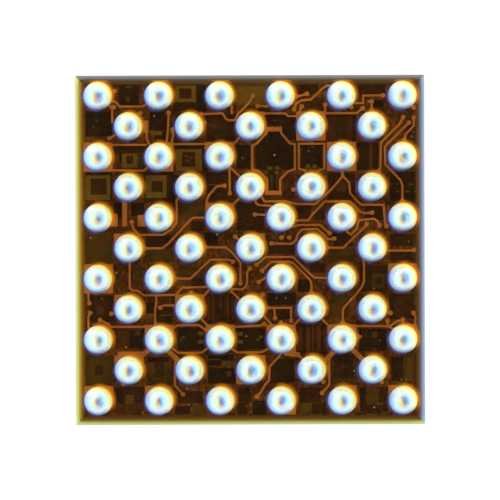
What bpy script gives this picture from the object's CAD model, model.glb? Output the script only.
"""Finishes, solder, film and studio for a wafer-level ball grid array chip."""

import math

import bmesh
import bpy
from bpy.props import FloatProperty, FloatVectorProperty, IntProperty, PointerProperty
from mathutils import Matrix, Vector


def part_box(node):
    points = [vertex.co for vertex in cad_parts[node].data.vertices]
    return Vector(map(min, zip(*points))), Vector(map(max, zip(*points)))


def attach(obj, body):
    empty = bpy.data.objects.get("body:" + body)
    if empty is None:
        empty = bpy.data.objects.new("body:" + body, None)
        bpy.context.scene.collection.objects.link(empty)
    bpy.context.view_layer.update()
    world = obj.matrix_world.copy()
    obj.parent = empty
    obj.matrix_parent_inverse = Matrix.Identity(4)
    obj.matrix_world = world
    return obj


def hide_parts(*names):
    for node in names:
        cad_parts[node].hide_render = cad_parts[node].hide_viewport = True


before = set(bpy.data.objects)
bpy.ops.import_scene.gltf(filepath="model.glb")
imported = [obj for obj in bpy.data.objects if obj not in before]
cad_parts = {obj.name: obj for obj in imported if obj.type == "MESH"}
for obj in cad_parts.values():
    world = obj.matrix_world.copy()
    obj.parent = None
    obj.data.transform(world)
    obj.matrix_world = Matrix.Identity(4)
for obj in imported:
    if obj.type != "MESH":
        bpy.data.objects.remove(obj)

bl_info = {
    "name": "Ball grid chip finishes",
    "version": (1, 0, 0),
    "blender": (4, 5, 0),
    "location": "View3D > Sidebar > Chip",
    "description": "Builds the solder, film and fine wiring of a ball grid chip, its finishes and a studio",
    "category": "Object",
}

MM = 0.001
MICRON = 0.001 * MM
ROWS = "ABCDEFGHJKL"
BALL_ROWS = ["balls_row_" + letter for letter in ROWS]
PAD_ROWS = ["pads_row_" + letter for letter in ROWS]
COPPER = sorted(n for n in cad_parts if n.startswith(("common_", "loop_", "copper_row_")))

# The ball array: its steps and centre come from the first and last rows of balls. Its columns
# and rows count from 0 at ball A1, and MIDDLE is the one halfway.
FIRST_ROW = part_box(BALL_ROWS[0])
LAST_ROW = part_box(BALL_ROWS[-1])
BALL_D = FIRST_ROW[1].y - FIRST_ROW[0].y
LAST_COLUMN = len(ROWS) - 1
MIDDLE = LAST_COLUMN // 2
STEP = (FIRST_ROW[1].x - FIRST_ROW[0].x - BALL_D) / LAST_COLUMN
CENTRE = Vector((
    (FIRST_ROW[0].x + FIRST_ROW[1].x) / 2,
    (FIRST_ROW[0].y + LAST_ROW[1].y) / 2,
    0,
))
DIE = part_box("silicon_die")
FILM = (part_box("lower_film")[0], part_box("upper_film")[1])
CIRCUIT_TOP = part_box("circuit_layer")[1].z
METAL_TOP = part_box("metal_frames")[1].z
# The one place of the array that has no ball: its column and row
EMPTY_PLACE = (6, 2)

# Areas of the circuit that differ in tone: their west, north, east and south sides, in steps of the
# array from ball A1, with columns to the east and rows to the south.
DARK_AREAS = [
    (5.54, 0.6, 6.56, 0.98), (6.05, 0.98, 6.56, 1.33), (6.24, 1.33, 6.56, 1.46), (5.58, 1.12, 6.02, 1.33),
    (5.35, 1.33, 6.23, 1.54), (5.17, 1.54, 6.42, 2.36), (6.64, 1.54, 7.42, 1.68),
    (8.52, 1.55, 8.92, 2.45), (9.0, 1.55, 9.2, 2.45), (6.56, 6.04, 6.98, 6.46), (7.85, 8.5, 8.25, 8.75),
    (7.95, 8.98, 8.2, 9.25), (3.86, 6.95, 4.14, 7.2), (3.6, 8.52, 4.42, 8.86), (-0.27, 2.68, 0.27, 3.22),
    (9.6, 2.5, 10.45, 3.5), (0.7, 1.83, 0.78, 2.2), (3.26, -0.45, 3.56, 0.5), (2.4, 2.6, 2.62, 3.5),
    (3.38, 1.6, 3.6, 2.5), (0.52, 3.5, 0.82, 4.0), (1.08, 3.5, 1.5, 3.95), (1.85, 4.6, 2.3, 4.85),
    (3.5, 4.48, 3.94, 4.9), (1.52, 6.78, 1.82, 7.14), (5.55, 6.48, 6.5, 6.88), (1.0, 7.68, 1.48, 8.3),
    (5.05, 10.02, 5.5, 10.48), (2.5, 10.2, 3.0, 10.45), (9.06, 0.14, 9.36, 0.4), (0.6, 9.6, 0.76, 10.1),
    (3.9, 1.05, 4.2, 1.22), (0.4, 0.62, 0.46, 1.4),
]
BROWN_AREAS = [
    (7.8, 0.6, 8.5, 1.5), (5.25, 2.36, 6.35, 2.45), (5.6, 2.45, 5.98, 3.08), (0.88, 1.93, 1.14, 2.18),
    (6.54, 3.6, 7.0, 4.02), (7.1, 3.75, 7.45, 4.1), (8.78, 3.62, 9.38, 4.1), (5.6, 4.92, 6.45, 5.2),
    (9.6, 4.55, 10.45, 4.96), (6.95, 5.5, 7.45, 5.82), (3.58, 6.5, 4.46, 7.46), (5.7, 6.92, 6.4, 7.35),
    (4.55, 10.1, 4.9, 10.45), (7.72, 4.5, 8.32, 4.96), (-0.14, 8.84, 0.16, 9.2), (2.46, -0.5, 3.4, 0.5),
    (-0.42, 2.5, 0.48, 3.45), (1.5, 2.5, 2.5, 3.5), (2.48, 1.56, 3.4, 2.5), (0.55, 1.56, 1.5, 1.86),
    (8.6, 5.6, 9.5, 6.45), (3.55, 2.5, 4.5, 2.9), (0.5, -0.5, 1.5, -0.32), (0.55, 9.55, 1.5, 10.1),
    (1.85, 0.9, 2.28, 1.5), (6.62, -0.42, 7.25, -0.05), (8.55, -0.42, 9.45, 0.0), (4.55, 3.5, 5.46, 4.42),
    (9.56, 6.52, 10.42, 7.35), (7.55, 2.55, 8.45, 3.4), (2.6, 9.7, 3.4, 10.1), (4.6, 9.6, 5.0, 10.1),
    (6.6, 9.6, 7.3, 10.1), (7.32, 10.1, 7.48, 10.48), (3.58, 2.93, 4.2, 3.45), (8.6, 9.6, 8.8, 10.4),
    (9.32, 9.6, 9.5, 10.4), (8.82, 10.16, 9.3, 10.45), (9.6, 5.12, 10.45, 5.42), (3.55, 0.6, 4.5, 1.48),
    (3.05, 4.12, 3.5, 4.45), (1.55, 4.58, 2.45, 4.98), (-0.3, 6.54, 0.46, 7.42), (6.54, 7.5, 7.47, 8.5),
    (1.84, 8.7, 2.14, 9.25), (5.6, 8.85, 5.9, 9.45), (6.95, 10.12, 7.3, 10.45), (10.15, 0.9, 10.46, 1.48),
    (9.2, 9.6, 9.32, 10.1), (1.9, 6.95, 2.44, 7.46), (3.05, 5.96, 3.5, 6.3), (7.72, 8.5, 8.38, 9.3),
]
RED_AREAS = [
    (7.5, 0.6, 7.8, 1.5), (8.2, 0.6, 8.34, 1.5), (7.8, 2.8, 8.15, 3.15), (0.6, 4.3, 1.5, 4.42),
    (-0.08, 6.9, 0.16, 7.2), (0.55, 7.65, 1.0, 8.3), (10.36, 8.5, 10.46, 9.5), (0.56, 10.12, 1.5, 10.45),
    (4.2, 2.6, 4.7, 3.4), (5.7, 5.6, 6.3, 6.4), (8.5, 2.6, 8.8, 3.3), (3.6, 0.75, 3.9, 1.05),
    (6.85, 0.1, 7.4, 0.45), (6.1, 2.6, 6.45, 3.35),
]
OLIVE_AREAS = [
    (4.62, 0.28, 5.5, 0.55), (0.68, 1.8, 1.55, 2.48), (3.93, 1.22, 4.35, 1.42), (2.7, 3.5, 3.5, 4.0),
    (1.55, 5.08, 2.5, 5.45), (-0.42, 4.55, 0.45, 5.42), (7.55, 5.05, 8.45, 5.45), (2.6, 5.6, 3.5, 5.95),
    (1.2, 5.6, 1.55, 6.2), (7.6, 6.55, 8.25, 7.3), (-0.42, 8.55, 0.45, 9.42), (1.6, 8.8, 2.42, 9.5),
    (7.6, 8.85, 8.5, 9.5), (8.86, 9.72, 9.26, 10.12), (9.8, 0.5, 10.3, 0.8), (9.95, 8.5, 10.3, 9.5),
]
# Narrow wires and contacts that run over the circuit, and plates that lie over its top metal
RED_WIRES = [
    (3.6, 6.55, 3.66, 7.4), (3.74, 6.52, 3.79, 7.45), (4.0, 6.52, 4.04, 7.0), (4.22, 6.52, 4.28, 7.45),
    (4.38, 6.55, 4.42, 7.4), (6.54, 7.6, 6.7, 8.4), (6.82, 7.55, 6.94, 8.45), (7.02, 7.5, 7.08, 8.5),
    (7.17, 7.55, 7.3, 8.45), (7.4, 7.6, 7.45, 8.4), (0.58, 5.7, 0.62, 6.4), (0.72, 5.7, 0.76, 6.4),
    (0.86, 5.7, 0.9, 6.4), (8.66, 7.66, 8.7, 8.0), (8.78, 7.66, 8.82, 7.95), (8.92, 1.5, 9.01, 2.5),
    (-0.06, 4.66, 0.22, 4.94), (9.0, 7.76, 9.15, 7.95), (8.98, 8.3, 9.15, 8.44), (4.2, 9.05, 4.36, 9.22),
    (1.2, 7.7, 1.38, 7.85), (0.6, 4.46, 1.5, 4.49), (0.92, 0.02, 1.06, 0.18), (2.84, 1.92, 2.94, 2.02),
    (3.0, 1.97, 3.12, 2.07), (2.88, 2.1, 3.02, 2.18),
]
PALE_WIRES = [
    (1.54, 6.56, 1.85, 6.59), (2.02, 6.56, 2.48, 6.59), (1.54, 7.19, 1.85, 7.22),
    (2.02, 7.19, 2.45, 7.22), (3.62, 8.65, 4.0, 8.68), (0.92, -0.33, 1.1, -0.27),
    (5.76, 0.78, 5.86, 0.82), (9.62, 2.9, 9.7, 2.93), (9.8, 2.9, 9.88, 2.93), (10.22, 2.89, 10.34, 2.94),
    (9.78, 3.14, 9.9, 3.17), (10.12, 3.14, 10.22, 3.17), (10.4, 3.13, 10.46, 3.18),
    (6.88, 1.8, 6.96, 1.86), (7.02, 1.64, 7.1, 1.7), (2.66, 7.98, 2.74, 8.04), (2.74, 7.9, 2.84, 7.96),
    (5.19, 7.98, 5.28, 8.04), (5.28, 7.88, 5.38, 7.96), (6.83, 2.26, 6.97, 2.37),
    (7.05, 2.26, 7.19, 2.37), (3.27, 7.74, 3.44, 7.86), (3.27, 8.02, 3.44, 8.14),
    (4.58, 7.76, 4.74, 7.88), (4.58, 8.02, 4.74, 8.14), (5.56, 2.32, 5.72, 2.42),
    (5.82, 2.32, 5.96, 2.42), (5.8, 2.47, 5.94, 2.58), (10.32, 1.16, 10.39, 1.24),
    (10.27, 1.31, 10.36, 1.4), (0.07, 6.61, 0.15, 6.69),
]
HOLLOW_FLOORS = [
    (-0.24, 2.7, 0.28, 3.23), (1.76, 2.79, 2.13, 3.15), (2.77, 1.84, 3.2, 2.27), (0.93, 1.96, 1.15, 2.22),
]
OLIVE_PLATES = [
    (5.66, 2.6, 5.74, 3.04), (5.85, 2.62, 5.92, 3.04),
]
# Pale marks that test needles leave: column and row in steps of the array, radius in micrometres
TEST_MARKS = [
    (1.85, 0.65, 5.5), (-0.05, 0.8, 3.5), (-0.15, 1.0, 3), (5.55, 1.5, 3), (5.8, 1.95, 7.5),
    (4.75, 2.05, 4.5), (3.65, 3.25, 6.5), (3.9, 4.55, 6.5), (-0.25, 4.65, 5), (-0.4, 4.55, 3),
    (0.6, 5.8, 6), (6.15, 6.65, 5), (5.85, 6.65, 4), (8.3, 6.7, 7.5), (0.9, 8.25, 5), (2.9, 9.6, 5.5),
    (2.95, 10.15, 4), (4.85, 7.9, 5), (8.4, 9.05, 6), (9.05, 10.25, 7), (9.95, 9.35, 5),
    (10.1, 9.35, 3.5), (8.05, 9.4, 3), (1.45, 10.4, 5), (10.2, 4.8, 3.5), (9.05, 6.35, 4), (3.5, 1.7, 5),
    (1.7, 3.3, 3), (7.6, 6.65, 3), (4.85, 10.2, 4), (9.25, 8.05, 3),
]
# Tints along each edge of the die, from its rim at 0 to where the glow ends at 1
EDGE_TINTS = {
    "west": (
        (0.05, (250, 255, 210)), (0.15, (244, 248, 146)), (0.3, (218, 204, 106)),
        (0.5, (178, 138, 44)), (0.65, (166, 116, 26)), (1.0, (130, 74, 18)),
    ),
    "south": (
        (0.05, (228, 240, 184)), (0.2, (212, 214, 116)), (0.35, (178, 156, 56)),
        (0.5, (120, 90, 32)), (1.0, (90, 64, 20)),
    ),
    "north": (
        (0.05, (162, 165, 182)), (0.15, (142, 145, 152)), (0.3, (130, 122, 110)),
        (0.45, (94, 76, 56)), (0.7, (104, 74, 36)),
    ),
    "east": (
        (0.05, (186, 218, 255)), (0.25, (148, 164, 204)), (0.4, (138, 128, 130)),
        (0.55, (108, 82, 62)), (0.8, (108, 71, 38)),
    ),
}


def srgb(red, green, blue):
    """A colour given in screen values, 0 to 255, as the linear one that Blender uses."""
    return tuple(
        c / 12.92 if c <= 0.04045 else ((c + 0.055) / 1.055) ** 2.4
        for c in (red / 255, green / 255, blue / 255)
    )


def place(column, row):
    """Metres from steps of the array, which count from ball A1."""
    return CENTRE + STEP * Vector((column - MIDDLE, MIDDLE - row, 0))


def colour(name, text, value):
    """A colour property, whose default is given in screen values."""
    return FloatVectorProperty(
        name=name, description=text, subtype="COLOR", size=3, min=0, max=1, default=srgb(*value)
    )


class ChipSolder(bpy.types.PropertyGroup):
    """Shape and finish of the solder balls."""

    around: IntProperty(name="Sides", description="Faces round each ball", default=40, min=12, max=64)
    rings: IntProperty(name="Rings", description="Rings of faces on each ball", default=22, min=6, max=40)
    dents: FloatProperty(
        name="Dents", description="Depth of the broad unevenness of each ball", unit="LENGTH",
        default=0.018 * MM, min=0, max=0.05 * MM, precision=6,
    )
    metal: colour("Solder", "Colour of the solder", (242, 253, 250))
    pad: colour("Pad", "Colour of the metal under each ball", (176, 160, 120))


class ChipFilm(bpy.types.PropertyGroup):
    """Shape and finish of the amber film."""

    slope: FloatProperty(
        name="Edge slope", description="How far the film's edge leans inwards", unit="LENGTH",
        default=0.004 * MM, min=0.001 * MM, max=0.01 * MM, precision=6,
    )
    corner: FloatProperty(
        name="Corner", description="Radius of the film's corners", unit="LENGTH",
        default=0.02 * MM, min=0.005 * MM, max=0.1 * MM, precision=6,
    )
    cover: FloatProperty(
        name="Cover", description="Share of what lies under it that the film hides", subtype="FACTOR",
        default=0.12, min=0, max=1,
    )
    glow: FloatProperty(
        name="Glow", description="Light that the film scatters close to a ball", subtype="FACTOR",
        default=0.6, min=0, max=1,
    )
    amber: colour("Film", "Colour of the film", (58, 34, 8))
    warm: colour("Warm glow", "Colour of the film on the north-east side of a ball", (214, 125, 8))
    cool: colour("Cool glow", "Colour of the film on the south-west side of a ball", (90, 84, 144))


class ChipCircuit(bpy.types.PropertyGroup):
    """Colours of what shows through the film."""

    ground: colour("Ground", "Colour of the plain circuit", (98, 56, 18))
    block: colour("Blocks", "Colour of the dense blocks", (44, 29, 10))
    brown: colour("Brown areas", "Colour of the dark brown areas", (57, 33, 11))
    red: colour("Red areas", "Colour of the reddish areas and wires", (74, 40, 13))
    olive: colour("Olive areas", "Colour of the olive areas", (75, 51, 13))
    metal: colour("Top metal", "Colour of the hollow squares and strips", (108, 77, 22))
    pale: colour("Pale wires", "Colour of the pale wires and contacts", (96, 78, 27))
    mark: colour("Test marks", "Colour of the marks that test needles leave", (206, 202, 146))
    ring: colour("Seal ring", "Colour of the ring round the die", (96, 60, 20))
    copper: colour("Copper", "Colour of the redistribution copper", (182, 103, 37))
    halo: colour("Land", "Colour of the copper close to a ball", (212, 130, 38))


class ChipBody(bpy.types.PropertyGroup):
    """Colours of the die."""

    silicon: colour("Silicon", "Colour of the sawn silicon", (142, 143, 146))
    coat: colour("Back coat", "Colour of the coat on the back", (38, 39, 42))


class ChipStudio(bpy.types.PropertyGroup):
    """The camera, lamps and surroundings."""

    lens: FloatProperty(
        name="Lens", description="Focal length", subtype="DISTANCE_CAMERA", unit="CAMERA",
        default=300, min=50, max=800,
    )
    view_width: FloatProperty(
        name="Width in view", description="Width that the camera sees at the balls", unit="LENGTH",
        default=4.6368 * MM, min=3.5 * MM, max=20 * MM, precision=6,
    )
    roll: FloatProperty(
        name="Roll", description="Turn of the camera about its own axis", subtype="ANGLE",
        default=math.radians(-0.18),
    )
    sky: FloatProperty(
        name="Sky", description="Strength of the light from all round", default=0.6, min=0, max=2,
    )
    lamp: FloatProperty(
        name="Side lamps", description="Strength of the two tinted side lamps", default=1.7, min=0, max=4,
    )
    fill: FloatProperty(
        name="Fill lamps", description="Strength of the two plain side lamps", default=1.2, min=0, max=4,
    )
    warm: colour("Warm lamp", "Colour of the lamp on the north-east side", (255, 251, 232))
    cool: colour("Cool lamp", "Colour of the lamp on the south-west side", (232, 243, 255))


# Small tools for shader trees


def feed(tree, socket, value):
    """Links a socket to another one, or sets its own value."""
    if isinstance(value, bpy.types.NodeSocket):
        tree.links.new(value, socket)
    elif socket.type == "RGBA" and len(value) == 3:
        socket.default_value = (*value, 1)
    else:
        socket.default_value = value


def maths(tree, operation, *values, clamp=False):
    node = tree.nodes.new("ShaderNodeMath")
    node.operation = operation
    node.use_clamp = clamp
    for socket, value in zip(node.inputs, values):
        feed(tree, socket, value)
    return node.outputs[0]


def vectors(tree, operation, *values):
    node = tree.nodes.new("ShaderNodeVectorMath")
    node.operation = operation
    for socket, value in zip(node.inputs, values):
        feed(tree, socket, value)
    gives_number = operation in ("DISTANCE", "DOT_PRODUCT", "LENGTH")
    return node.outputs["Value" if gives_number else "Vector"]


def stretch(tree, value, low, high, to_low=0.0, to_high=1.0, smooth=True):
    """Brings a value from one span to another, and holds it there."""
    node = tree.nodes.new("ShaderNodeMapRange")
    node.interpolation_type = "SMOOTHSTEP" if smooth else "LINEAR"
    for socket, given in zip(node.inputs, (value, low, high, to_low, to_high)):
        feed(tree, socket, given)
    return node.outputs[0]


def blended(tree, share, a, b):
    """Colour a where the share is 0, colour b where it is 1."""
    node = tree.nodes.new("ShaderNodeMix")
    node.data_type = "RGBA"
    feed(tree, node.inputs[0], share)
    feed(tree, node.inputs[6], a)
    feed(tree, node.inputs[7], b)
    return node.outputs[2]


def ramp(tree, value, *stops):
    """Colours, in screen values, at given places of a value from 0 to 1."""
    node = tree.nodes.new("ShaderNodeValToRGB")
    tree.links.new(value, node.inputs[0])
    elements = node.color_ramp.elements
    while len(elements) < len(stops):
        elements.new(1)
    for element, (position, tint) in zip(elements, stops):
        element.position = position
        element.color = (*srgb(*tint), 1)
    return node.outputs[0]


def shade(base, share):
    """A colour made darker or lighter."""
    return tuple(min(c * share, 1) for c in base)


def mottled(tree, tone, base, low, high):
    """A colour that runs from one shade of itself to another as the tone goes from 0 to 1."""
    return blended(tree, tone, shade(base, low), shade(base, high))


def parts_of(tree, vector):
    node = tree.nodes.new("ShaderNodeSeparateXYZ")
    tree.links.new(vector, node.inputs[0])
    return node.outputs


def combined(tree, x, y, z=0):
    node = tree.nodes.new("ShaderNodeCombineXYZ")
    for socket, value in zip(node.inputs, (x, y, z)):
        feed(tree, socket, value)
    return node.outputs[0]


def millimetres(tree, offset=(0, 0, 0)):
    """The place on the chip, in millimetres."""
    at = tree.nodes.new("ShaderNodeTexCoord").outputs["Object"]
    return vectors(tree, "MULTIPLY_ADD", at, (1 / MM, 1 / MM, 1 / MM), offset)


def noisy(tree, vector, scale, detail, rough):
    node = tree.nodes.new("ShaderNodeTexNoise")
    feed(tree, node.inputs["Vector"], vector)
    feed(tree, node.inputs["Scale"], scale)
    feed(tree, node.inputs["Detail"], detail)
    feed(tree, node.inputs["Roughness"], rough)
    return node.outputs[0]


def mirrored_rays(tree, path):
    """1 on the rays that a mirror or the clear film sends on."""
    return maths(tree, "MAXIMUM", path.outputs["Is Glossy Ray"], path.outputs["Is Transmission Ray"])


# Shared effects, as node groups


def effect(name, inputs, outputs):
    """An empty node group with named sockets: inputs are values with defaults, outputs are kinds."""
    tree = bpy.data.node_groups.new(name, "ShaderNodeTree")
    for label, value in inputs.items():
        socket = tree.interface.new_socket(label, in_out="INPUT", socket_type="NodeSocketFloat")
        socket.default_value = value
    for label, kind in outputs.items():
        tree.interface.new_socket(label, in_out="OUTPUT", socket_type=kind)
    return tree, tree.nodes.new("NodeGroupInput").outputs, tree.nodes.new("NodeGroupOutput").inputs


def use(tree, group, **values):
    """Places a node group in a material, with its own values."""
    node = tree.nodes.new("ShaderNodeGroup")
    node.node_tree = group
    for label, value in values.items():
        feed(tree, node.inputs[label.capitalize()], value)
    return node.outputs


def fine_grain():
    """Fine unevenness at a size given in millimetres, with a broad clouding over it."""
    if "Fine grain" in bpy.data.node_groups:
        return bpy.data.node_groups["Fine grain"]
    tree, given, out = effect(
        "Fine grain",
        {"Size": 0.02, "Clouds": 0.4},
        {"Tone": "NodeSocketFloat", "Height": "NodeSocketFloat"},
    )
    where = millimetres(tree)
    fine = noisy(tree, where, maths(tree, "DIVIDE", 1, given["Size"]), 4, 0.6)
    broad = noisy(tree, where, maths(tree, "DIVIDE", 1, given["Clouds"]), 2, 0.5)
    tone = maths(tree, "MULTIPLY_ADD", broad, 0.5, maths(tree, "MULTIPLY", fine, 0.5))
    feed(tree, out["Tone"], stretch(tree, tone, 0.3, 0.7))
    feed(tree, out["Height"], fine)
    return tree


def rows_of_cells(tree, x, y, size):
    """Rows of cells of uneven width: a random tone for each cell, and the lines between them."""
    def random(value):
        node = tree.nodes.new("ShaderNodeTexWhiteNoise")
        feed(tree, node.inputs["Vector"], value)
        return node.outputs["Value"]

    down = maths(tree, "DIVIDE", y, size)
    row = maths(tree, "FLOOR", down)
    uneven = random(combined(tree, row, 0.5))
    # Cells are 0.5 to 2.1 times as wide as high, and each row starts at a place of its own.
    width = maths(tree, "MULTIPLY", size, maths(tree, "MULTIPLY_ADD", uneven, 1.6, 0.5))
    across = maths(tree, "MULTIPLY_ADD", uneven, 37.0, maths(tree, "DIVIDE", x, width))
    tone = random(combined(tree, maths(tree, "FLOOR", across), row))
    near = maths(tree, "MINIMUM", maths(tree, "PINGPONG", down, 0.5), maths(tree, "PINGPONG", across, 0.5))
    return tone, stretch(tree, near, 0.04, 0.14, 1.0, 0.0)


def circuit_cells():
    """A mosaic of circuit cells in two sizes, the lines between them, and sparse light marks."""
    if "Circuit cells" in bpy.data.node_groups:
        return bpy.data.node_groups["Circuit cells"]
    tree, given, out = effect(
        "Circuit cells",
        {"Cell": 0.05},
        {"Tone": "NodeSocketFloat", "Lines": "NodeSocketFloat", "Marks": "NodeSocketFloat"},
    )
    # The cells count from a place off the chip, so they have no seam in its middle.
    x, y, _ = parts_of(tree, millimetres(tree, (7.3, 4.1, 0)))
    broad, gaps = rows_of_cells(tree, x, y, given["Cell"])
    fine, seams = rows_of_cells(tree, y, x, maths(tree, "MULTIPLY", given["Cell"], 0.31))
    feed(tree, out["Tone"], maths(tree, "MULTIPLY_ADD", broad, 0.35, maths(tree, "MULTIPLY", fine, 0.65)))
    feed(tree, out["Lines"], maths(tree, "MAXIMUM", gaps, maths(tree, "MULTIPLY", seams, 0.5)))
    feed(tree, out["Marks"], stretch(tree, fine, 0.94, 0.98))
    return tree


def ball_halo():
    """A ring round every ball, and its warm and cool sides, from the steps of the array."""
    if "Ball halo" in bpy.data.node_groups:
        return bpy.data.node_groups["Ball halo"]
    tree, given, out = effect(
        "Ball halo",
        {"Inner": 0.12, "Outer": 0.19},
        {"Ring": "NodeSocketFloat", "Warm": "NodeSocketFloat", "Cool": "NodeSocketFloat"},
    )
    step, centre, hole = STEP / MM, CENTRE / MM, (place(*EMPTY_PLACE) - CENTRE) / MM
    where = millimetres(tree, (-centre.x, -centre.y, 0))
    x, y, _ = parts_of(tree, vectors(tree, "MULTIPLY", where, (1 / step, 1 / step, 1)))
    # The array is staggered, so its rows along both diagonals are what repeats.
    sites = []
    for operation in ("ADD", "SUBTRACT"):
        along = maths(tree, "MULTIPLY", maths(tree, operation, x, y), 0.5)
        sites.append(maths(tree, "SUBTRACT", along, maths(tree, "ROUND", along)))
    off_x = maths(tree, "MULTIPLY", maths(tree, "ADD", *sites), step)
    off_y = maths(tree, "MULTIPLY", maths(tree, "SUBTRACT", *sites), step)
    offset = combined(tree, off_x, off_y)
    distance = vectors(tree, "LENGTH", offset)
    # No ring at the place without a ball, nor round places beyond the array
    flat = vectors(tree, "MULTIPLY", where, (1, 1, 0))
    gap = vectors(tree, "DISTANCE", flat, tuple(hole))
    held = maths(tree, "GREATER_THAN", gap, step * 0.7)
    site = vectors(tree, "ABSOLUTE", vectors(tree, "SUBTRACT", flat, offset))
    for along in parts_of(tree, site)[:2]:
        held = maths(tree, "MULTIPLY", held, maths(tree, "LESS_THAN", along, (MIDDLE + 0.5) * step))
    ring = maths(tree, "MULTIPLY", held, stretch(tree, distance, given["Inner"], given["Outer"], 1.0, 0.0))
    # The warm side fades faster, and the cool side ends closer to the ball.
    faint = maths(tree, "MULTIPLY", ring, ring)
    width = maths(tree, "SUBTRACT", given["Outer"], given["Inner"])
    reach = maths(tree, "MULTIPLY_ADD", width, 0.62, given["Inner"])
    close = maths(tree, "MULTIPLY", held, stretch(tree, distance, given["Inner"], reach, 1.0, 0.0))
    feed(tree, out["Ring"], ring)
    outwards = vectors(tree, "NORMALIZE", offset)
    for label, strength, side, start in (
        ("Warm", faint, (0.77, 0.64, 0), -0.2), ("Cool", close, (-0.86, -0.51, 0), 0.0),
    ):
        facing = vectors(tree, "DOT_PRODUCT", outwards, side)
        feed(tree, out[label], maths(tree, "MULTIPLY", strength, stretch(tree, facing, start, 0.9)))
    return tree


def edge_glow():
    """Colour of a strip along the die's edges, different on each side, and how strongly it shows."""
    if "Edge glow" in bpy.data.node_groups:
        return bpy.data.node_groups["Edge glow"]
    tree, given, out = effect(
        "Edge glow",
        {"Reach": 0.1},
        {"Tint": "NodeSocketColor", "Fade": "NodeSocketFloat"},
    )
    half = DIE[1].x / MM
    x, y, _ = parts_of(tree, millimetres(tree))
    west, south = maths(tree, "MULTIPLY", x, -1), maths(tree, "MULTIPLY", y, -1)
    low = maths(tree, "MAXIMUM", west, south)
    high = maths(tree, "MAXIMUM", x, y)
    depth = maths(tree, "SUBTRACT", half, maths(tree, "MAXIMUM", low, high))
    depth = maths(tree, "DIVIDE", depth, given["Reach"], clamp=True)
    tints = {side: ramp(tree, depth, *stops) for side, stops in EDGE_TINTS.items()}

    def more(a, b):
        """1 where a is the larger, softened over a narrow seam at the die's corners."""
        return stretch(tree, maths(tree, "SUBTRACT", a, b), -0.012, 0.012)

    low_tint = blended(tree, more(west, south), tints["south"], tints["west"])
    high_tint = blended(tree, more(y, x), tints["east"], tints["north"])
    feed(tree, out["Tint"], blended(tree, more(low, high), high_tint, low_tint))
    feed(tree, out["Fade"], stretch(tree, depth, 0.42, 0.99, 0.95, 0.0, smooth=False))
    return tree


# Small tools for materials and meshes


def finish(name, **sockets):
    """A material with one Principled shader, whose plain values are set on its own sockets."""
    material = bpy.data.materials.new(name)
    material.use_nodes = True
    tree = material.node_tree
    shader = tree.nodes["Principled BSDF"]
    for label, value in sockets.items():
        feed(tree, shader.inputs[label.replace("_", " ")], value)
    return material, tree, shader


def dress(tree, shader, tint, roughness, height, depth, strength):
    """Joins a colour, a roughness and a relief to the shader."""
    feed(tree, shader.inputs["Base Color"], tint)
    feed(tree, shader.inputs["Roughness"], roughness)
    bump = tree.nodes.new("ShaderNodeBump")
    feed(tree, bump.inputs["Strength"], strength)
    feed(tree, bump.inputs["Distance"], depth)
    feed(tree, bump.inputs["Height"], height)
    tree.links.new(bump.outputs[0], shader.inputs["Normal"])


def give(material, names):
    """Puts a material on nodes that keep their own shape."""
    for name in names:
        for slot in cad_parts[name].material_slots:
            slot.material = material


def show(name, mesh, slot, material, *stands_for):
    """Links a new piece of the chip and says which nodes it stands for."""
    piece = bpy.data.objects.new(name, mesh)
    bpy.context.scene.collection.objects.link(piece)
    mesh.materials.append(material)
    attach(piece, "root")
    if stands_for:
        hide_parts(*stands_for)


def mesh_from(bm, name, smooth=True):
    bmesh.ops.recalc_face_normals(bm, faces=bm.faces)
    for face in bm.faces:
        face.smooth = smooth
    mesh = bpy.data.meshes.new(name)
    bm.to_mesh(mesh)
    bm.free()
    return mesh


def skin(bm, rings, foot=False, top=True):
    """Faces from each ring of places to the next, and flat ones that close the foot and the top."""
    rings = [[bm.verts.new(at) for at in ring] for ring in rings]
    for below, above in zip(rings, rings[1:]):
        for i in range(len(below)):
            j = (i + 1) % len(below)
            bm.faces.new((below[i], below[j], above[j], above[i]))
    if foot:
        bm.faces.new(reversed(rings[0]))
    if top:
        bm.faces.new(rings[-1])
    return rings


def rounded(low, high, z, radius, points):
    """A ring of places round a rectangle, with a given number of points on each round corner."""
    ring = []
    near, far = low + Vector((radius, radius, 0)), high - Vector((radius, radius, 0))
    for k, (x, y) in enumerate(((far.x, far.y), (near.x, far.y), (near.x, near.y), (far.x, near.y))):
        for j in range(points):
            turn = (k + j / (points - 1)) * math.pi / 2
            ring.append((x + radius * math.cos(turn), y + radius * math.sin(turn), z))
    return ring


def plates(name, areas, low, high):
    """Thin plates with rounded corners; areas are given in steps of the array."""
    bm = bmesh.new()
    for west, north, east, south in areas:
        a, b = place(west, south), place(east, north)
        corner = min(0.18 * min(b.x - a.x, b.y - a.y), 6 * MICRON)
        skin(bm, [rounded(a, b, z, corner, 4) for z in (low, high)], foot=True)
    return mesh_from(bm, name, smooth=False)


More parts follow.
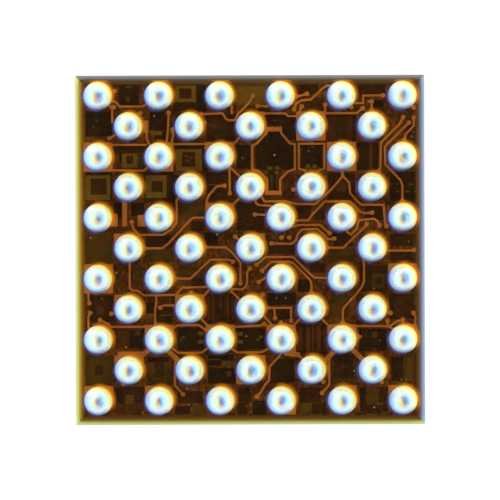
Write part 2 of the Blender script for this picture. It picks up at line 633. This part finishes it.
def circuit_finish(name, base, cell, contrast, metallic=0.0, fade=0.0):
    """Layers of fine wiring under glass: a mosaic of cells in shades of one colour."""
    material, tree, shader = finish(name, Specular_IOR_Level=0.03, Metallic=metallic)
    cells = use(tree, circuit_cells(), cell=cell)
    grain = use(tree, fine_grain(), size=0.009, clouds=0.3)
    clouds = maths(tree, "MULTIPLY", grain["Tone"], 0.35)
    mixed = maths(tree, "MULTIPLY_ADD", cells["Tone"], 0.65, clouds)
    tone = stretch(tree, mixed, 0.22, 0.78, smooth=False)
    tint = mottled(tree, tone, base, 1 - contrast, 1 + contrast)
    lines = maths(tree, "MULTIPLY", cells["Lines"], 0.45 * contrast)
    tint = blended(tree, lines, tint, shade(base, 1 - contrast))
    marks = maths(tree, "MULTIPLY", cells["Marks"], 0.5 * contrast)
    tint = blended(tree, marks, tint, shade(base, 2.4))
    if fade:
        # The film lies thicker over the southern rows.
        y = parts_of(tree, millimetres(tree))[1]
        tint = blended(tree, stretch(tree, y, 0.45, 0.05, 0.0, fade), tint, shade(base, 0.35))
    roughness = stretch(tree, grain["Tone"], 0, 1, 0.5, 0.7)
    dress(tree, shader, tint, roughness, cells["Tone"], 0.4 * MICRON, 0.3)
    return material


class CHIP_OT_body(bpy.types.Operator):
    """Finish the silicon and the coat on its back"""

    bl_idname = "chip.finish_body"
    bl_label = "Silicon and back coat"

    def execute(self, context):
        colours = context.scene.chip_body
        give(self.matte_coat(colours.coat), ["back_coat"])
        give(self.sawn_silicon(colours.silicon), ["silicon_die"])
        return {"FINISHED"}

    def matte_coat(self, base):
        material, tree, shader = finish("Matte back coat", Specular_IOR_Level=0.35)
        grain = use(tree, fine_grain(), size=0.006, clouds=0.5)
        tint = mottled(tree, grain["Tone"], base, 0.75, 1.3)
        roughness = stretch(tree, grain["Height"], 0.3, 0.7, 0.55, 0.75)
        dress(tree, shader, tint, roughness, grain["Height"], 2 * MICRON, 0.6)
        return material

    def sawn_silicon(self, base):
        material, tree, shader = finish("Sawn silicon", Specular_IOR_Level=0.15)
        grain = use(tree, fine_grain(), size=0.01, clouds=0.6)
        # The saw leaves fine level scratches round the sides, and dust settles into them.
        x, y, z = parts_of(tree, millimetres(tree))
        along = maths(tree, "MULTIPLY", maths(tree, "ADD", x, y), 0.8)
        marks = noisy(tree, combined(tree, along, 0, maths(tree, "MULTIPLY", z, 70)), 1.0, 5, 0.7)
        dust = maths(tree, "MULTIPLY", grain["Tone"], 0.25)
        streaks = maths(tree, "MULTIPLY_ADD", marks, 0.75, dust)
        sawn = mottled(tree, stretch(tree, streaks, 0.3, 0.7), base, 0.55, 1.35)
        # The ledge, which faces upwards, has the tints of the die's edges.
        up = parts_of(tree, tree.nodes.new("ShaderNodeNewGeometry").outputs["Normal"])[2]
        tint = blended(tree, stretch(tree, up, 0.4, 0.8), sawn, use(tree, edge_glow())["Tint"])
        dress(tree, shader, tint, stretch(tree, marks, 0.3, 0.7, 0.32, 0.55), marks, 1.5 * MICRON, 0.5)
        return material


class CHIP_OT_circuit(bpy.types.Operator):
    """Finish the circuit, its top metal and the seal ring"""

    bl_idname = "chip.finish_circuit"
    bl_label = "Circuit and top metal"

    def execute(self, context):
        colours = context.scene.chip_circuit
        for name, node, base, cell, contrast, metallic, fade in (
            ("Circuit ground", "circuit_layer", colours.ground, 0.06, 0.65, 0.0, 0.0),
            ("Dense blocks", "circuit_blocks", colours.block, 0.03, 0.45, 0.0, 0.0),
            ("Hollow squares", "metal_frames", colours.metal, 0.04, 0.15, 0.1, 0.8),
            ("Metal strips", "metal_patches", colours.metal, 0.04, 0.15, 0.1, 0.6),
            ("Seal ring", "seal_ring", colours.ring, 0.03, 0.3, 0.1, 0.0),
        ):
            give(circuit_finish(name, base, cell, contrast, metallic, fade), [node])
        return {"FINISHED"}


class CHIP_OT_areas(bpy.types.Operator):
    """Build the circuit's toned areas, narrow wires, contacts and test marks"""

    bl_idname = "chip.build_areas"
    bl_label = "Areas, wires and marks"

    def execute(self, context):
        colours = context.scene.chip_circuit
        thin = 0.3 * MICRON
        # The areas lie on the circuit, and each kind stands a little higher than the one before.
        for level, (name, areas, base, cell, contrast) in enumerate((
            ("olive_areas", OLIVE_AREAS, colours.olive, 0.05, 0.4),
            ("brown_areas", BROWN_AREAS, colours.brown, 0.03, 0.45),
            ("red_areas", RED_AREAS, colours.red, 0.03, 0.5),
            ("dark_areas", DARK_AREAS, colours.block, 0.03, 0.5),
        ), start=1):
            mesh = plates(name, areas, CIRCUIT_TOP, CIRCUIT_TOP + level * thin)
            self.show_toned(name, mesh, "circuit", base, cell, contrast)
        # The rest lies on the top metal, and the wires stand highest.
        for name, areas, base, top in (
            ("red_wires", RED_WIRES, shade(colours.red, 1.3), 1.0),
            ("pale_wires", PALE_WIRES, colours.pale, 1.0),
            ("olive_plates", OLIVE_PLATES, colours.olive, 0.7),
            ("hollow_floors", HOLLOW_FLOORS, colours.brown, 0.7),
        ):
            high = METAL_TOP + top * thin
            mesh = plates(name, areas, high - 0.6 * thin, high)
            self.show_toned(name, mesh, "top_metal", base, 0.02, 0.3)
        show("test_marks", self.blisters(), "top_metal", self.mark_finish(colours.mark))
        return {"FINISHED"}

    def show_toned(self, name, mesh, slot, base, cell, contrast):
        label = name.replace("_", " ").capitalize()
        show(name, mesh, slot, circuit_finish(label, base, cell, contrast))

    def blisters(self):
        """Low, uneven blisters where test needles touched, just proud of the film."""
        bm = bmesh.new()
        points = 10
        low, high = FILM[1].z - MICRON, FILM[1].z + 0.8 * MICRON
        for k, (column, row, size) in enumerate(TEST_MARKS):
            rings = []
            for z, reach in ((low, 1.0), (0.4 * low + 0.6 * high, 0.85), (high, 0.45)):
                ring = []
                for j in range(points):
                    turn = j / points * 2 * math.pi
                    uneven = 1 + 0.22 * math.sin(2 * turn + k) + 0.12 * math.sin(3 * turn + 2 * k)
                    radius = size * MICRON * uneven * reach
                    outwards = Vector((radius * math.cos(turn), radius * math.sin(turn), z))
                    ring.append(place(column, row) + outwards)
                rings.append(ring)
            skin(bm, rings)
        return mesh_from(bm, "test_marks")

    def mark_finish(self, base):
        material, tree, shader = finish("Test marks", Metallic=0.2, Specular_IOR_Level=0.3)
        grain = use(tree, fine_grain(), size=0.004, clouds=0.05)
        tint = mottled(tree, grain["Tone"], base, 0.75, 1.1)
        roughness = stretch(tree, grain["Tone"], 0, 1, 0.3, 0.5)
        dress(tree, shader, tint, roughness, grain["Height"], 0.6 * MICRON, 0.4)
        return material


class CHIP_OT_copper(bpy.types.Operator):
    """Finish the redistribution copper and the pads under the balls"""

    bl_idname = "chip.finish_copper"
    bl_label = "Copper and pads"

    def execute(self, context):
        colours = context.scene.chip_circuit
        give(self.satin_copper(colours.copper, colours.halo), COPPER)
        give(self.pad_metal(context.scene.chip_solder.pad), PAD_ROWS)
        return {"FINISHED"}

    def satin_copper(self, base, land):
        """Satin copper, paler on the lands close to the balls."""
        material, tree, shader = finish("Satin copper", Metallic=0.35, Specular_IOR_Level=0.2)
        grain = use(tree, fine_grain(), size=0.012, clouds=0.35)
        halo = use(tree, ball_halo(), inner=0.13, outer=0.23)
        tint = mottled(tree, grain["Tone"], base, 0.72, 1.3)
        tint = blended(tree, maths(tree, "MULTIPLY", halo["Ring"], 0.75), tint, tuple(land))
        roughness = stretch(tree, grain["Tone"], 0, 1, 0.42, 0.6)
        dress(tree, shader, tint, roughness, grain["Height"], MICRON, 0.4)
        return material

    def pad_metal(self, base):
        material, tree, shader = finish("Pad metal", Metallic=0.8)
        grain = use(tree, fine_grain(), size=0.01, clouds=0.2)
        tint = mottled(tree, grain["Tone"], base, 0.8, 1.2)
        roughness = stretch(tree, grain["Tone"], 0, 1, 0.35, 0.5)
        dress(tree, shader, tint, roughness, grain["Height"], MICRON, 0.3)
        return material


class CHIP_OT_film(bpy.types.Operator):
    """Build the amber film over the copper"""

    bl_idname = "chip.build_film"
    bl_label = "Film"

    def execute(self, context):
        values = context.scene.chip_film
        show("film_cover", self.cover(values), "upper_film", self.amber(values), "lower_film", "upper_film")
        return {"FINISHED"}

    def cover(self, values):
        """Leaning walls and a level top, with a small bevel between them and no underside."""
        foot, top = FILM[0].z + 0.4 * MICRON, FILM[1].z
        half = FILM[1].x
        bevel = 1.5 * MICRON
        rings = []
        for z, inset in (
            (foot, 0), (top - bevel, values.slope), (top - 0.3 * bevel, values.slope + 0.3 * bevel),
            (top, values.slope + bevel),
        ):
            corner = Vector((half - inset, half - inset, 0))
            rings.append(rounded(-corner, corner, z, values.corner, 9))
        bm = bmesh.new()
        skin(bm, rings)
        return mesh_from(bm, "film_cover", smooth=False)

    def amber(self, values):
        """Clear amber that turns opaque in a glow round each ball and along the die's edges."""
        material, tree, shader = finish("Amber film", Specular_IOR_Level=0.2, Emission_Strength=values.glow)
        grain = use(tree, fine_grain(), size=0.05, clouds=0.5)
        halo = use(tree, ball_halo(), inner=0.12, outer=0.2)
        edge = use(tree, edge_glow())
        tint = mottled(tree, grain["Tone"], values.amber, 0.85, 1.2)
        tint = blended(tree, maths(tree, "GREATER_THAN", edge["Fade"], 0.001), tint, edge["Tint"])
        light = (0, 0, 0)
        for side, glow in (("Cool", tuple(values.cool)), ("Warm", tuple(values.warm))):
            tint = blended(tree, halo[side], tint, glow)
            light = blended(tree, stretch(tree, halo[side], 0, 0.4), light, glow)
        feed(tree, shader.inputs["Emission Color"], light)
        opaque = maths(tree, "MAXIMUM", halo["Warm"], maths(tree, "MULTIPLY", halo["Cool"], 0.8))
        opaque = maths(tree, "MAXIMUM", opaque, edge["Fade"])
        feed(tree, shader.inputs["Alpha"], maths(tree, "MAXIMUM", opaque, values.cover))
        roughness = stretch(tree, grain["Tone"], 0, 1, 0.08, 0.14)
        dress(tree, shader, tint, roughness, grain["Height"], MICRON, 0.15)
        return material


class CHIP_OT_balls(bpy.types.Operator):
    """Build the solder balls, one piece for each row"""

    bl_idname = "chip.build_balls"
    bl_label = "Solder balls"

    def execute(self, context):
        values = context.scene.chip_solder
        material = self.frosted_solder(values)
        radius = BALL_D / 2
        for row, name in enumerate(BALL_ROWS):
            low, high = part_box(name)
            middle = high.z - radius
            cut = math.acos((middle - low.z) / radius)
            count = round((high.x - low.x - BALL_D) / (2 * STEP)) + 1
            bm = bmesh.new()
            for i in range(count):
                x = low.x + radius + 2 * i * STEP
                if (round((x - CENTRE.x) / STEP) + MIDDLE, row) == EMPTY_PLACE:
                    continue
                self.ball(bm, Vector((x, (low.y + high.y) / 2, middle)), radius, cut, values)
            show(name.replace("balls", "solder"), mesh_from(bm, name), "solder", material, name)
        return {"FINISHED"}

    def ball(self, bm, middle, radius, cut, values):
        """A sphere cut flat at its foot, where the angle from straight down is given."""
        rings = []
        for k in range(values.rings):
            down = (math.pi - cut) * (1 - k / values.rings)
            rings.append([
                middle + radius * Vector((
                    math.sin(down) * math.cos(2 * math.pi * j / values.around),
                    math.sin(down) * math.sin(2 * math.pi * j / values.around),
                    math.cos(down),
                ))
                for j in range(values.around)
            ])
        last = skin(bm, rings, foot=True, top=False)[-1]
        top = bm.verts.new(middle + Vector((0, 0, radius)))
        for j in range(values.around):
            bm.faces.new((last[j], last[(j + 1) % values.around], top))

    def frosted_solder(self, values):
        """Polished on top and frosted lower down, with a warm, a cool and a shaded side."""
        material, tree, shader = finish("Frosted solder", Sheen_Weight=0.12, Sheen_Roughness=0.4)
        grain = use(tree, fine_grain(), size=0.02, clouds=0.15)
        tint = mottled(tree, grain["Tone"], values.metal, 0.94, 1.0)
        normal = tree.nodes.new("ShaderNodeNewGeometry").outputs["Normal"]
        up = parts_of(tree, normal)[2]
        flat = vectors(tree, "NORMALIZE", vectors(tree, "MULTIPLY", normal, (1, 1, 0)))
        upper = stretch(tree, up, -0.15, 0.2)
        # Each side: the way it faces, where its tint starts and is full, and its tints from rim to top
        for way, start, full, stops in (
            ((0.74, 0.67, 0), -0.2, 0.8, (
                (0.0, (226, 190, 70)), (0.3, (250, 222, 90)), (0.45, (255, 247, 122)),
                (0.6, (255, 255, 186)), (0.72, (246, 255, 228)), (0.85, (240, 254, 246)),
                (1.0, (242, 253, 250)),
            )),
            ((-0.74, -0.67, 0), -0.15, 0.75, (
                (0.0, (122, 140, 212)), (0.3, (140, 168, 246)), (0.45, (154, 194, 255)),
                (0.6, (178, 222, 255)), (0.72, (202, 240, 255)), (0.85, (230, 252, 252)),
                (1.0, (242, 253, 250)),
            )),
            ((0.1, -0.995, 0), 0.55, 1.1, (
                (0.0, (44, 40, 66)), (0.3, (84, 92, 136)), (0.45, (132, 154, 196)),
                (0.6, (184, 216, 240)), (0.76, (228, 248, 252)), (1.0, (242, 253, 250)),
            )),
        ):
            facing = stretch(tree, vectors(tree, "DOT_PRODUCT", flat, way), start, full)
            tint = blended(tree, maths(tree, "MULTIPLY", upper, facing), tint, ramp(tree, up, *stops))
        feed(tree, shader.inputs["Metallic"], stretch(tree, up, 0.35, 1.0, 0.0, 0.9))
        satin = stretch(tree, up, 0.35, 1.0, 0.5, 0.1)
        roughness = maths(tree, "MULTIPLY_ADD", grain["Tone"], 0.06, satin)
        dents = noisy(tree, millimetres(tree), 7, 2, 0.45)
        height = maths(tree, "MULTIPLY_ADD", grain["Height"], 0.06, dents)
        dress(tree, shader, tint, roughness, height, values.dents, 1.0)
        return material


class CHIP_OT_stage(bpy.types.Operator):
    """Set the floor, lamps, surroundings and camera"""

    bl_idname = "chip.set_stage"
    bl_label = "Studio"

    def execute(self, context):
        scene = context.scene
        values = scene.chip_studio
        scene.view_settings.view_transform = "Standard"
        self.floor(scene)
        self.surroundings(scene, values)
        self.lamps(scene, values)
        self.camera(scene, values)
        return {"FINISHED"}

    def floor(self, scene):
        """A pale floor just under the chip, which shines evenly to the camera and in mirrors."""
        half, cells, drop, glow = 60 * MM, 8, 2 * MICRON, 0.92
        bm = bmesh.new()
        bmesh.ops.create_grid(bm, x_segments=cells, y_segments=cells, size=half)
        mesh = mesh_from(bm, "studio_floor", smooth=False)
        floor = bpy.data.objects.new("studio_floor", mesh)
        floor.location.z = -drop
        scene.collection.objects.link(floor)
        material, tree, shader = finish("Studio floor", Roughness=0.9, Specular_IOR_Level=0.1)
        feed(tree, shader.inputs["Base Color"], (0.2, 0.2, 0.2))
        feed(tree, shader.inputs["Emission Color"], (1.0, 1.0, 1.0))
        path = tree.nodes.new("ShaderNodeLightPath")
        seen = maths(tree, "MAXIMUM", path.outputs["Is Camera Ray"], mirrored_rays(tree, path))
        feed(tree, shader.inputs["Emission Strength"], maths(tree, "MULTIPLY", seen, glow))
        mesh.materials.append(material)

    def lamps(self, scene, values):
        """Four low, soft lamps: a warm and a cool one face each other, with plain ones between."""
        plain = (1, 1, 1)
        for name, tint, energy, turn in (
            ("warm_lamp", values.warm, 1.12 * values.lamp, 40),
            ("north_west_lamp", plain, values.fill, 130),
            ("cool_lamp", values.cool, values.lamp, 220),
            ("south_east_lamp", plain, 0.4 * values.fill, 310),
        ):
            light = bpy.data.lights.new(name, "SUN")
            light.energy = energy
            light.angle = math.radians(36)
            light.color = tint
            lamp = bpy.data.objects.new(name, light)
            lamp.rotation_euler = (math.radians(72), 0, math.radians(turn + 90))
            lamp.visible_glossy = False
            scene.collection.objects.link(lamp)

    def surroundings(self, scene, values):
        """Plain white to the camera; in mirrors, a dark lens with tinted rims hangs overhead."""
        world = bpy.data.worlds.new("Studio surroundings")
        world.use_nodes = True
        scene.world = world
        tree = world.node_tree
        tree.nodes.clear()
        towards = tree.nodes.new("ShaderNodeTexCoord").outputs["Generated"]
        # Places are in ball radii, where a ball mirrors that direction straight up. The lens is
        # in another place for red, green and blue, which tints its rims yellow and blue.
        on_ball = vectors(tree, "NORMALIZE", vectors(tree, "ADD", towards, (0, 0, 1)))
        shades = tree.nodes.new("ShaderNodeCombineColor")
        length = 0.44
        for channel, (x, y, width, darkest) in zip(shades.inputs, (
            (0.16, -0.02, 0.32, 0.16), (0.06, -0.09, 0.27, 0.2), (-0.1, -0.14, 0.25, 0.16),
        )):
            spread = vectors(tree, "SUBTRACT", on_ball, (x, y, 0))
            away = vectors(tree, "LENGTH", vectors(tree, "MULTIPLY", spread, (1 / width, 1 / length, 0)))
            feed(tree, channel, stretch(tree, away, 0.15, 1.5, darkest, 1.0))
        path = tree.nodes.new("ShaderNodeLightPath")
        mirrored = mirrored_rays(tree, path)
        studio = tree.nodes.new("ShaderNodeBackground")
        feed(tree, studio.inputs["Color"], blended(tree, mirrored, (1.0, 1.0, 1.0), shades.outputs[0]))
        feed(tree, studio.inputs["Strength"], stretch(tree, mirrored, 0, 1, values.sky, 1.0, smooth=False))
        plain = tree.nodes.new("ShaderNodeBackground")
        feed(tree, plain.inputs["Color"], (1.0, 1.0, 1.0))
        mix = tree.nodes.new("ShaderNodeMixShader")
        for socket, source in zip(mix.inputs, (
            path.outputs["Is Camera Ray"], studio.outputs[0], plain.outputs[0],
        )):
            tree.links.new(source, socket)
        tree.links.new(mix.outputs[0], tree.nodes.new("ShaderNodeOutputWorld").inputs[0])

    def camera(self, scene, values):
        """A long lens straight above the balls' middles."""
        data = bpy.data.cameras.new("camera")
        data.lens = values.lens
        data.clip_start, data.clip_end = 1 * MM, 1000 * MM
        camera = bpy.data.objects.new("camera", data)
        height = values.view_width / data.sensor_width * values.lens
        middle = FIRST_ROW[1].z - BALL_D / 2
        camera.location = (0, -MICRON, middle + height)
        camera.rotation_euler = (0, 0, values.roll)
        scene.collection.objects.link(camera)
        scene.camera = camera


GROUPS = {
    "chip_body": ChipBody,
    "chip_circuit": ChipCircuit,
    "chip_film": ChipFilm,
    "chip_solder": ChipSolder,
    "chip_studio": ChipStudio,
}
STEPS = [
    CHIP_OT_body, CHIP_OT_circuit, CHIP_OT_areas, CHIP_OT_copper, CHIP_OT_film, CHIP_OT_balls,
    CHIP_OT_stage,
]


class CHIP_PT_panel(bpy.types.Panel):
    """Sizes, colours and steps of the chip"""

    bl_idname = "CHIP_PT_panel"
    bl_label = "Ball grid chip"
    bl_space_type = "VIEW_3D"
    bl_region_type = "UI"
    bl_category = "Chip"

    def draw(self, context):
        for name, group in GROUPS.items():
            box = self.layout.box()
            box.label(text=group.__doc__)
            for prop in group.__annotations__:
                box.prop(getattr(context.scene, name), prop)
        for step in STEPS:
            self.layout.operator(step.bl_idname)


def register():
    for cls in (*GROUPS.values(), *STEPS, CHIP_PT_panel):
        bpy.utils.register_class(cls)
    for name, group in GROUPS.items():
        setattr(bpy.types.Scene, name, PointerProperty(type=group))


def unregister():
    for name in GROUPS:
        delattr(bpy.types.Scene, name)
    for cls in reversed((*GROUPS.values(), *STEPS, CHIP_PT_panel)):
        bpy.utils.unregister_class(cls)


def main():
    register()
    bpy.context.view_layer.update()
    for step in STEPS:
        area, call = step.bl_idname.split(".")
        getattr(getattr(bpy.ops, area), call)()


if __name__ == "__main__":
    main()
